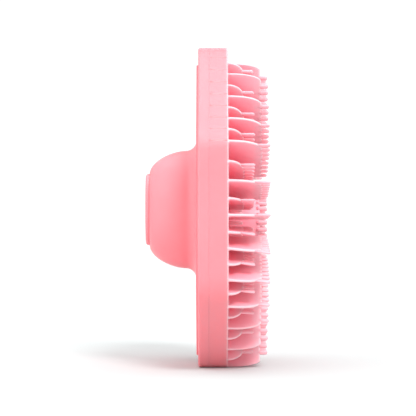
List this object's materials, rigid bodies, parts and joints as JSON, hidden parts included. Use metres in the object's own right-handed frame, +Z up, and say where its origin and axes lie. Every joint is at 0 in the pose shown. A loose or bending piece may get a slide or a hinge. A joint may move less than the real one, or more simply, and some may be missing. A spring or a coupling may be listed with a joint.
{
  "type": "scalp massager brush",
  "caption": "Palm-held silicone scalp massager: flat pad with a ring of bristled comb blades on the front and an oblong knob handle on the back.",
  "frame": {"origin": "middle of the base footprint, under the centre of the whole brush, on the surface it stands on", "axes": "+Z up along the brush, +X from the knob handle towards the bristle tips, Y across the brush"},
  "size_m": [0.0383, 0.0758, 0.1],
  "materials": {
    "shell": "satin soft-touch pink",
    "cap": "satin soft-touch pink",
    "stiffener": "plain moulded off-white",
    "pad": "satin translucent pink silicone",
    "bristle_silicone": "satin translucent pink silicone"
  },
  "bodies": {
    "brush_body": {"handle_shell": "shell", "knob_cap": "cap", "stiffener_plate": "stiffener", "brush_pad": "pad", "centre_comb_ring": "bristle_silicone", "centre_pins": "bristle_silicone"},
    "top_short_blade": {"top_short_blade": "bristle_silicone"},
    "right_long_blade_01": {"right_long_blade_01": "bristle_silicone"},
    "left_long_blade_01": {"left_long_blade_01": "bristle_silicone"},
    "right_short_blade_01": {"right_short_blade_01": "bristle_silicone"},
    "left_short_blade_01": {"left_short_blade_01": "bristle_silicone"},
    "right_long_blade_02": {"right_long_blade_02": "bristle_silicone"},
    "left_long_blade_02": {"left_long_blade_02": "bristle_silicone"},
    "right_short_blade_02": {"right_short_blade_02": "bristle_silicone"},
    "left_short_blade_02": {"left_short_blade_02": "bristle_silicone"},
    "right_long_blade_03": {"right_long_blade_03": "bristle_silicone"},
    "left_long_blade_03": {"left_long_blade_03": "bristle_silicone"},
    "right_short_blade_03": {"right_short_blade_03": "bristle_silicone"},
    "left_short_blade_03": {"left_short_blade_03": "bristle_silicone"},
    "right_long_blade_04": {"right_long_blade_04": "bristle_silicone"},
    "left_long_blade_04": {"left_long_blade_04": "bristle_silicone"},
    "right_short_blade_04": {"right_short_blade_04": "bristle_silicone"},
    "left_short_blade_04": {"left_short_blade_04": "bristle_silicone"},
    "right_long_blade_05": {"right_long_blade_05": "bristle_silicone"},
    "left_long_blade_05": {"left_long_blade_05": "bristle_silicone"},
    "right_short_blade_05": {"right_short_blade_05": "bristle_silicone"},
    "left_short_blade_05": {"left_short_blade_05": "bristle_silicone"},
    "right_long_blade_06": {"right_long_blade_06": "bristle_silicone"},
    "left_long_blade_06": {"left_long_blade_06": "bristle_silicone"},
    "right_short_blade_06": {"right_short_blade_06": "bristle_silicone"},
    "left_short_blade_06": {"left_short_blade_06": "bristle_silicone"},
    "right_long_blade_07": {"right_long_blade_07": "bristle_silicone"},
    "left_long_blade_07": {"left_long_blade_07": "bristle_silicone"},
    "right_short_blade_07": {"right_short_blade_07": "bristle_silicone"},
    "left_short_blade_07": {"left_short_blade_07": "bristle_silicone"},
    "right_long_blade_08": {"right_long_blade_08": "bristle_silicone"},
    "left_long_blade_08": {"left_long_blade_08": "bristle_silicone"},
    "right_short_blade_08": {"right_short_blade_08": "bristle_silicone"},
    "left_short_blade_08": {"left_short_blade_08": "bristle_silicone"},
    "right_long_blade_09": {"right_long_blade_09": "bristle_silicone"},
    "left_long_blade_09": {"left_long_blade_09": "bristle_silicone"},
    "right_short_blade_09": {"right_short_blade_09": "bristle_silicone"},
    "left_short_blade_09": {"left_short_blade_09": "bristle_silicone"},
    "right_long_blade_10": {"right_long_blade_10": "bristle_silicone"},
    "left_long_blade_10": {"left_long_blade_10": "bristle_silicone"},
    "right_short_blade_10": {"right_short_blade_10": "bristle_silicone"},
    "left_short_blade_10": {"left_short_blade_10": "bristle_silicone"},
    "right_long_blade_11": {"right_long_blade_11": "bristle_silicone"},
    "left_long_blade_11": {"left_long_blade_11": "bristle_silicone"},
    "right_short_blade_11": {"right_short_blade_11": "bristle_silicone"},
    "left_short_blade_11": {"left_short_blade_11": "bristle_silicone"},
    "right_long_blade_12": {"right_long_blade_12": "bristle_silicone"},
    "left_long_blade_12": {"left_long_blade_12": "bristle_silicone"},
    "right_short_blade_12": {"right_short_blade_12": "bristle_silicone"},
    "left_short_blade_12": {"left_short_blade_12": "bristle_silicone"},
    "right_long_blade_13": {"right_long_blade_13": "bristle_silicone"},
    "left_long_blade_13": {"left_long_blade_13": "bristle_silicone"},
    "right_short_blade_13": {"right_short_blade_13": "bristle_silicone"},
    "left_short_blade_13": {"left_short_blade_13": "bristle_silicone"},
    "bottom_long_blade": {"bottom_long_blade": "bristle_silicone"}
  },
  "joints": [
    {"name": "top_short_flex", "type": "hinge", "parent": "brush_body", "child": "top_short_blade", "pos_m": [0.0068, 0, 0.0455], "axis": [0, 0, 1], "range_deg": [-8, 8], "stiffness_Nm_per_rad": 0.001},
    {"name": "right_long_flex_01", "type": "hinge", "parent": "brush_body", "child": "right_long_blade_01", "pos_m": [0.0068, 0, 0.0455], "axis": [0, 0.1372, 0.9905], "range_deg": [-8, 8], "stiffness_Nm_per_rad": 0.0012},
    {"name": "left_long_flex_01", "type": "hinge", "parent": "brush_body", "child": "left_long_blade_01", "pos_m": [0.0068, 0, 0.0455], "axis": [0, -0.1372, 0.9905], "range_deg": [-8, 8], "stiffness_Nm_per_rad": 0.0012},
    {"name": "right_short_flex_01", "type": "hinge", "parent": "brush_body", "child": "right_short_blade_01", "pos_m": [0.0068, 0, 0.0455], "axis": [0, 0.2676, 0.9635], "range_deg": [-8, 8], "stiffness_Nm_per_rad": 0.001},
    {"name": "left_short_flex_01", "type": "hinge", "parent": "brush_body", "child": "left_short_blade_01", "pos_m": [0.0068, 0, 0.0455], "axis": [0, -0.2676, 0.9635], "range_deg": [-8, 8], "stiffness_Nm_per_rad": 0.001},
    {"name": "right_long_flex_02", "type": "hinge", "parent": "brush_body", "child": "right_long_blade_02", "pos_m": [0.0068, 0, 0.0455], "axis": [0, 0.353, 0.9356], "range_deg": [-8, 8], "stiffness_Nm_per_rad": 0.0012},
    {"name": "left_long_flex_02", "type": "hinge", "parent": "brush_body", "child": "left_long_blade_02", "pos_m": [0.0068, 0, 0.0455], "axis": [0, -0.353, 0.9356], "range_deg": [-8, 8], "stiffness_Nm_per_rad": 0.0012},
    {"name": "right_short_flex_02", "type": "hinge", "parent": "brush_body", "child": "right_short_blade_02", "pos_m": [0.0068, 0, 0.0455], "axis": [0, 0.4403, 0.8979], "range_deg": [-8, 8], "stiffness_Nm_per_rad": 0.001},
    {"name": "left_short_flex_02", "type": "hinge", "parent": "brush_body", "child": "left_short_blade_02", "pos_m": [0.0068, 0, 0.0455], "axis": [0, -0.4403, 0.8979], "range_deg": [-8, 8], "stiffness_Nm_per_rad": 0.001},
    {"name": "right_long_flex_03", "type": "hinge", "parent": "brush_body", "child": "right_long_blade_03", "pos_m": [0.0068, 0, 0.0455], "axis": [0, 0.5284, 0.849], "range_deg": [-8, 8], "stiffness_Nm_per_rad": 0.0012},
    {"name": "left_long_flex_03", "type": "hinge", "parent": "brush_body", "child": "left_long_blade_03", "pos_m": [0.0068, 0, 0.0455], "axis": [0, -0.5284, 0.849], "range_deg": [-8, 8], "stiffness_Nm_per_rad": 0.0012},
    {"name": "right_short_flex_03", "type": "hinge", "parent": "brush_body", "child": "right_short_blade_03", "pos_m": [0.0068, 0, 0.0455], "axis": [0, 0.6143, 0.7891], "range_deg": [-8, 8], "stiffness_Nm_per_rad": 0.001},
    {"name": "left_short_flex_03", "type": "hinge", "parent": "brush_body", "child": "left_short_blade_03", "pos_m": [0.0068, 0, 0.0455], "axis": [0, -0.6143, 0.7891], "range_deg": [-8, 8], "stiffness_Nm_per_rad": 0.001},
    {"name": "right_long_flex_04", "type": "hinge", "parent": "brush_body", "child": "right_long_blade_04", "pos_m": [0.0068, 0, 0.0455], "axis": [0, 0.6948, 0.7192], "range_deg": [-8, 8], "stiffness_Nm_per_rad": 0.0012},
    {"name": "left_long_flex_04", "type": "hinge", "parent": "brush_body", "child": "left_long_blade_04", "pos_m": [0.0068, 0, 0.0455], "axis": [0, -0.6948, 0.7192], "range_deg": [-8, 8], "stiffness_Nm_per_rad": 0.0012},
    {"name": "right_short_flex_04", "type": "hinge", "parent": "brush_body", "child": "right_short_blade_04", "pos_m": [0.0068, 0, 0.0455], "axis": [0, 0.7671, 0.6415], "range_deg": [-8, 8], "stiffness_Nm_per_rad": 0.001},
    {"name": "left_short_flex_04", "type": "hinge", "parent": "brush_body", "child": "left_short_blade_04", "pos_m": [0.0068, 0, 0.0455], "axis": [0, -0.7671, 0.6415], "range_deg": [-8, 8], "stiffness_Nm_per_rad": 0.001},
    {"name": "right_long_flex_05", "type": "hinge", "parent": "brush_body", "child": "right_long_blade_05", "pos_m": [0.0068, 0, 0.0455], "axis": [0, 0.8293, 0.5589], "range_deg": [-8, 8], "stiffness_Nm_per_rad": 0.0012},
    {"name": "left_long_flex_05", "type": "hinge", "parent": "brush_body", "child": "left_long_blade_05", "pos_m": [0.0068, 0, 0.0455], "axis": [0, -0.8293, 0.5589], "range_deg": [-8, 8], "stiffness_Nm_per_rad": 0.0012},
    {"name": "right_short_flex_05", "type": "hinge", "parent": "brush_body", "child": "right_short_blade_05", "pos_m": [0.0068, 0, 0.0455], "axis": [0, 0.8955, 0.445], "range_deg": [-8, 8], "stiffness_Nm_per_rad": 0.001},
    {"name": "left_short_flex_05", "type": "hinge", "parent": "brush_body", "child": "left_short_blade_05", "pos_m": [0.0068, 0, 0.0455], "axis": [0, -0.8955, 0.445], "range_deg": [-8, 8], "stiffness_Nm_per_rad": 0.001},
    {"name": "right_long_flex_06", "type": "hinge", "parent": "brush_body", "child": "right_long_blade_06", "pos_m": [0.0068, 0, 0.0455], "axis": [0, 0.9466, 0.3223], "range_deg": [-8, 8], "stiffness_Nm_per_rad": 0.0012},
    {"name": "left_long_flex_06", "type": "hinge", "parent": "brush_body", "child": "left_long_blade_06", "pos_m": [0.0068, 0, 0.0455], "axis": [0, -0.9466, 0.3223], "range_deg": [-8, 8], "stiffness_Nm_per_rad": 0.0012},
    {"name": "right_short_flex_06", "type": "hinge", "parent": "brush_body", "child": "right_short_blade_06", "pos_m": [0.0068, 0, 0.0455], "axis": [0, 0.9813, 0.1924], "range_deg": [-8, 8], "stiffness_Nm_per_rad": 0.001},
    {"name": "left_short_flex_06", "type": "hinge", "parent": "brush_body", "child": "left_short_blade_06", "pos_m": [0.0068, 0, 0.0455], "axis": [0, -0.9813, 0.1924], "range_deg": [-8, 8], "stiffness_Nm_per_rad": 0.001},
    {"name": "right_long_flex_07", "type": "hinge", "parent": "brush_body", "child": "right_long_blade_07", "pos_m": [0.0068, 0, 0.0455], "axis": [0, 0.998, 0.0632], "range_deg": [-8, 8], "stiffness_Nm_per_rad": 0.0012},
    {"name": "left_long_flex_07", "type": "hinge", "parent": "brush_body", "child": "left_long_blade_07", "pos_m": [0.0068, 0, 0.0455], "axis": [0, -0.998, 0.0632], "range_deg": [-8, 8], "stiffness_Nm_per_rad": 0.0012},
    {"name": "right_short_flex_07", "type": "hinge", "parent": "brush_body", "child": "right_short_blade_07", "pos_m": [0.0068, 0, 0.0455], "axis": [0, 0.9975, -0.0705], "range_deg": [-8, 8], "stiffness_Nm_per_rad": 0.001},
    {"name": "left_short_flex_07", "type": "hinge", "parent": "brush_body", "child": "left_short_blade_07", "pos_m": [0.0068, 0, 0.0455], "axis": [0, -0.9975, -0.0705], "range_deg": [-8, 8], "stiffness_Nm_per_rad": 0.001},
    {"name": "right_long_flex_08", "type": "hinge", "parent": "brush_body", "child": "right_long_blade_08", "pos_m": [0.0068, 0, 0.0455], "axis": [0, 0.9801, -0.1983], "range_deg": [-8, 8], "stiffness_Nm_per_rad": 0.0012},
    {"name": "left_long_flex_08", "type": "hinge", "parent": "brush_body", "child": "left_long_blade_08", "pos_m": [0.0068, 0, 0.0455], "axis": [0, -0.9801, -0.1983], "range_deg": [-8, 8], "stiffness_Nm_per_rad": 0.0012},
    {"name": "right_short_flex_08", "type": "hinge", "parent": "brush_body", "child": "right_short_blade_08", "pos_m": [0.0068, 0, 0.0455], "axis": [0, 0.9491, -0.3151], "range_deg": [-8, 8], "stiffness_Nm_per_rad": 0.001},
    {"name": "left_short_flex_08", "type": "hinge", "parent": "brush_body", "child": "left_short_blade_08", "pos_m": [0.0068, 0, 0.0455], "axis": [0, -0.9491, -0.3151], "range_deg": [-8, 8], "stiffness_Nm_per_rad": 0.001},
    {"name": "right_long_flex_09", "type": "hinge", "parent": "brush_body", "child": "right_long_blade_09", "pos_m": [0.0068, 0, 0.0455], "axis": [0, 0.9082, -0.4186], "range_deg": [-8, 8], "stiffness_Nm_per_rad": 0.0012},
    {"name": "left_long_flex_09", "type": "hinge", "parent": "brush_body", "child": "left_long_blade_09", "pos_m": [0.0068, 0, 0.0455], "axis": [0, -0.9082, -0.4186], "range_deg": [-8, 8], "stiffness_Nm_per_rad": 0.0012},
    {"name": "right_short_flex_09", "type": "hinge", "parent": "brush_body", "child": "right_short_blade_09", "pos_m": [0.0068, 0, 0.0455], "axis": [0, 0.8578, -0.514], "range_deg": [-8, 8], "stiffness_Nm_per_rad": 0.001},
    {"name": "left_short_flex_09", "type": "hinge", "parent": "brush_body", "child": "left_short_blade_09", "pos_m": [0.0068, 0, 0.0455], "axis": [0, -0.8578, -0.514], "range_deg": [-8, 8], "stiffness_Nm_per_rad": 0.001},
    {"name": "right_long_flex_10", "type": "hinge", "parent": "brush_body", "child": "right_long_blade_10", "pos_m": [0.0068, 0, 0.0455], "axis": [0, 0.7864, -0.6177], "range_deg": [-8, 8], "stiffness_Nm_per_rad": 0.0012},
    {"name": "left_long_flex_10", "type": "hinge", "parent": "brush_body", "child": "left_long_blade_10", "pos_m": [0.0068, 0, 0.0455], "axis": [0, -0.7864, -0.6177], "range_deg": [-8, 8], "stiffness_Nm_per_rad": 0.0012},
    {"name": "right_short_flex_10", "type": "hinge", "parent": "brush_body", "child": "right_short_blade_10", "pos_m": [0.0068, 0, 0.0455], "axis": [0, 0.7009, -0.7133], "range_deg": [-8, 8], "stiffness_Nm_per_rad": 0.001},
    {"name": "left_short_flex_10", "type": "hinge", "parent": "brush_body", "child": "left_short_blade_10", "pos_m": [0.0068, 0, 0.0455], "axis": [0, -0.7009, -0.7133], "range_deg": [-8, 8], "stiffness_Nm_per_rad": 0.001},
    {"name": "right_long_flex_11", "type": "hinge", "parent": "brush_body", "child": "right_long_blade_11", "pos_m": [0.0068, 0, 0.0455], "axis": [0, 0.6027, -0.798], "range_deg": [-8, 8], "stiffness_Nm_per_rad": 0.0012},
    {"name": "left_long_flex_11", "type": "hinge", "parent": "brush_body", "child": "left_long_blade_11", "pos_m": [0.0068, 0, 0.0455], "axis": [0, -0.6027, -0.798], "range_deg": [-8, 8], "stiffness_Nm_per_rad": 0.0012},
    {"name": "right_short_flex_11", "type": "hinge", "parent": "brush_body", "child": "right_short_blade_11", "pos_m": [0.0068, 0, 0.0455], "axis": [0, 0.4969, -0.8678], "range_deg": [-8, 8], "stiffness_Nm_per_rad": 0.001},
    {"name": "left_short_flex_11", "type": "hinge", "parent": "brush_body", "child": "left_short_blade_11", "pos_m": [0.0068, 0, 0.0455], "axis": [0, -0.4969, -0.8678], "range_deg": [-8, 8], "stiffness_Nm_per_rad": 0.001},
    {"name": "right_long_flex_12", "type": "hinge", "parent": "brush_body", "child": "right_long_blade_12", "pos_m": [0.0068, 0, 0.0455], "axis": [0, 0.3893, -0.9211], "range_deg": [-8, 8], "stiffness_Nm_per_rad": 0.0012},
    {"name": "left_long_flex_12", "type": "hinge", "parent": "brush_body", "child": "left_long_blade_12", "pos_m": [0.0068, 0, 0.0455], "axis": [0, -0.3893, -0.9211], "range_deg": [-8, 8], "stiffness_Nm_per_rad": 0.0012},
    {"name": "right_short_flex_12", "type": "hinge", "parent": "brush_body", "child": "right_short_blade_12", "pos_m": [0.0068, 0, 0.0455], "axis": [0, 0.2851, -0.9585], "range_deg": [-8, 8], "stiffness_Nm_per_rad": 0.001},
    {"name": "left_short_flex_12", "type": "hinge", "parent": "brush_body", "child": "left_short_blade_12", "pos_m": [0.0068, 0, 0.0455], "axis": [0, -0.2851, -0.9585], "range_deg": [-8, 8], "stiffness_Nm_per_rad": 0.001},
    {"name": "right_long_flex_13", "type": "hinge", "parent": "brush_body", "child": "right_long_blade_13", "pos_m": [0.0068, 0, 0.0455], "axis": [0, 0.1798, -0.9837], "range_deg": [-8, 8], "stiffness_Nm_per_rad": 0.0012},
    {"name": "left_long_flex_13", "type": "hinge", "parent": "brush_body", "child": "left_long_blade_13", "pos_m": [0.0068, 0, 0.0455], "axis": [0, -0.1798, -0.9837], "range_deg": [-8, 8], "stiffness_Nm_per_rad": 0.0012},
    {"name": "right_short_flex_13", "type": "hinge", "parent": "brush_body", "child": "right_short_blade_13", "pos_m": [0.0068, 0, 0.0455], "axis": [0, 0.091, -0.9959], "range_deg": [-8, 8], "stiffness_Nm_per_rad": 0.001},
    {"name": "left_short_flex_13", "type": "hinge", "parent": "brush_body", "child": "left_short_blade_13", "pos_m": [0.0068, 0, 0.0455], "axis": [0, -0.091, -0.9959], "range_deg": [-8, 8], "stiffness_Nm_per_rad": 0.001},
    {"name": "bottom_long_flex", "type": "hinge", "parent": "brush_body", "child": "bottom_long_blade", "pos_m": [0.0068, 0, 0.0455], "axis": [0, 0, -1], "range_deg": [-8, 8], "stiffness_Nm_per_rad": 0.0012}
  ]
}
